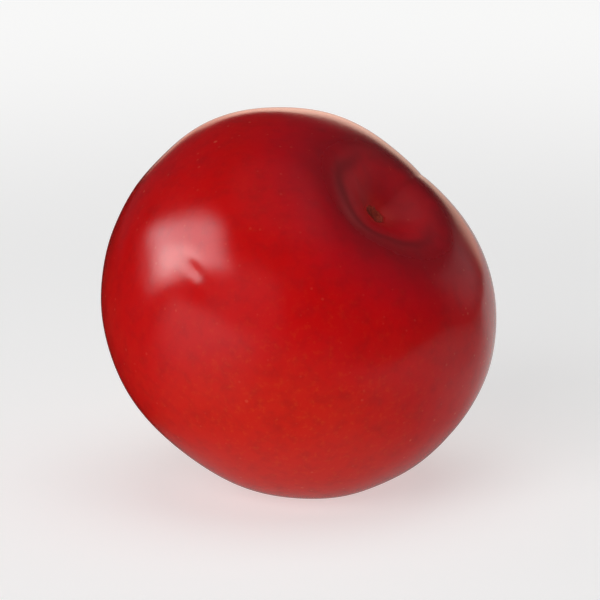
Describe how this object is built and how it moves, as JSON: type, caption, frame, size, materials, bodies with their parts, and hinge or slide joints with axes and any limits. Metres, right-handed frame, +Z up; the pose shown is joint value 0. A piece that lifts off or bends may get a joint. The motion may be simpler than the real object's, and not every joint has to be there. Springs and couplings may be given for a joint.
{
  "type": "plum",
  "caption": "Ripe red plum with no stem: a round, slightly flattened stone fruit with a stem hollow and a shallow seam, lying tipped over on a small flat spot.",
  "frame": {"origin": "middle of the small flat spot that the fruit lies on", "axes": "+Z up. The fruit lies with its stem end up and tipped over by 41 degrees, towards +X and a little towards -Y, so its stem hollow shows from the front, which is -Y."},
  "size_m": [0.0565, 0.0558, 0.0539],
  "materials": {
    "skin": "gloss"
  },
  "bodies": {
    "root": {"plum": "skin"}
  },
  "joints": []
}
